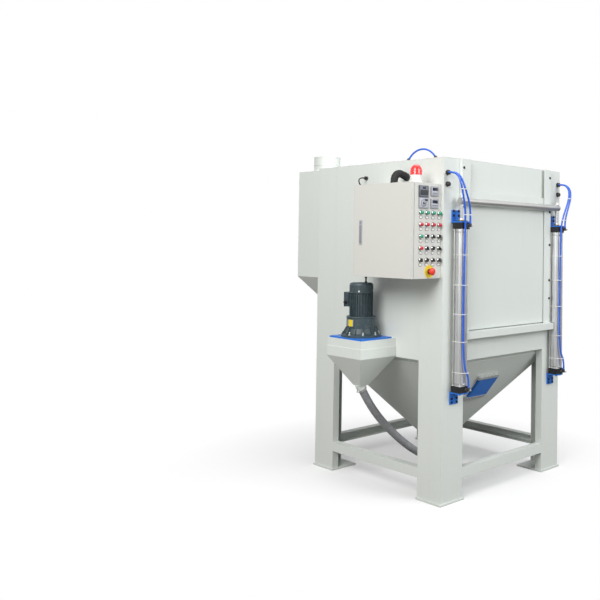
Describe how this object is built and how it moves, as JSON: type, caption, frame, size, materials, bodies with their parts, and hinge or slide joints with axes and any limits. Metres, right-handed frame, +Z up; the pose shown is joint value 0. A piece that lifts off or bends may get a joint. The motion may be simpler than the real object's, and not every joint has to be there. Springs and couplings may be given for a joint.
{
  "type": "sandblasting cabinet",
  "caption": "Free-standing sandblasting cabinet with a front door lifted by air cylinders, a collecting hopper, a control box and a side separator with a geared motor.",
  "frame": {"origin": "on the floor under the middle of the machine's whole reach, without its free hoses and tubes", "axes": "+Z up, the door side faces -Y, and +X runs to the right seen from the door side; the control box and separator are on the -X wall"},
  "size_m": [1.503, 1.67, 2.174],
  "materials": {
    "black_cap": "matte",
    "black_plastic": "matte",
    "blue_paint": "gloss",
    "cylinder_aluminium": "brushed",
    "dark_plastic": "gloss",
    "frame_paint": "satin",
    "galvanised": "matte",
    "hopper_paint": "satin",
    "hose_clear": "satin",
    "motor_paint": "satin",
    "plain_steel": "brushed",
    "red_lens": "gloss",
    "rod_chrome": "polished",
    "stop_red": "gloss",
    "tube_blue": "gloss",
    "white_plastic": "matte"
  },
  "bodies": {
    "cabinet": {"air_tube_low_left": "tube_blue", "air_tube_low_right": "tube_blue", "air_tube_top_left": "tube_blue", "air_tube_top_right": "tube_blue", "beacon_base": "white_plastic", "beacon_dome": "red_lens", "box_cable": "black_plastic", "cable_conduit": "black_plastic", "cable_glands": "black_plastic", "control_box": "frame_paint", "control_box_door": "frame_paint", "cylinder_barrels": "cylinder_aluminium", "cylinder_brackets": "blue_paint", "cylinder_caps": "black_cap", "cylinder_tie_rods": "plain_steel", "door_guides": "frame_paint", "door_sill": "frame_paint", "duct_spigot": "frame_paint", "emergency_stop": "stop_red", "exhaust_box": "frame_paint", "exhaust_chute": "frame_paint", "flow_valves": "plain_steel", "foot_plates": "frame_paint", "front_apron": "frame_paint", "front_head_panel": "frame_paint", "gasket_plate": "blue_paint", "hatch_cover": "blue_paint", "hatch_rails": "galvanised", "hopper_outlet": "hopper_paint", "hopper_rim": "hopper_paint", "main_hopper": "hopper_paint", "motor_bell": "motor_paint", "motor_body": "motor_paint", "motor_cowl": "motor_paint", "motor_lead": "frame_paint", "panel_controls": "dark_plastic", "panel_meters": "dark_plastic", "post_front_left": "frame_paint", "post_front_right": "frame_paint", "post_rear_left": "frame_paint", "post_rear_right": "frame_paint", "return_hose": "hose_clear", "roof_panel": "frame_paint", "roof_tube": "tube_blue", "separator_case": "frame_paint", "separator_cone": "frame_paint", "separator_spigot": "frame_paint", "terminal_box": "frame_paint", "tie_rails_front_rear": "frame_paint", "tie_rails_sides": "frame_paint", "wall_left": "frame_paint", "wall_rear": "frame_paint", "wall_right": "frame_paint"},
    "lifting_door": {"lift_door": "frame_paint", "lift_bar": "frame_paint", "piston_rods": "rod_chrome"}
  },
  "joints": [
    {"name": "door_lift", "type": "slide", "parent": "cabinet", "child": "lifting_door", "axis": [0, 0, 1], "range_m": [0, 0.72]}
  ]
}
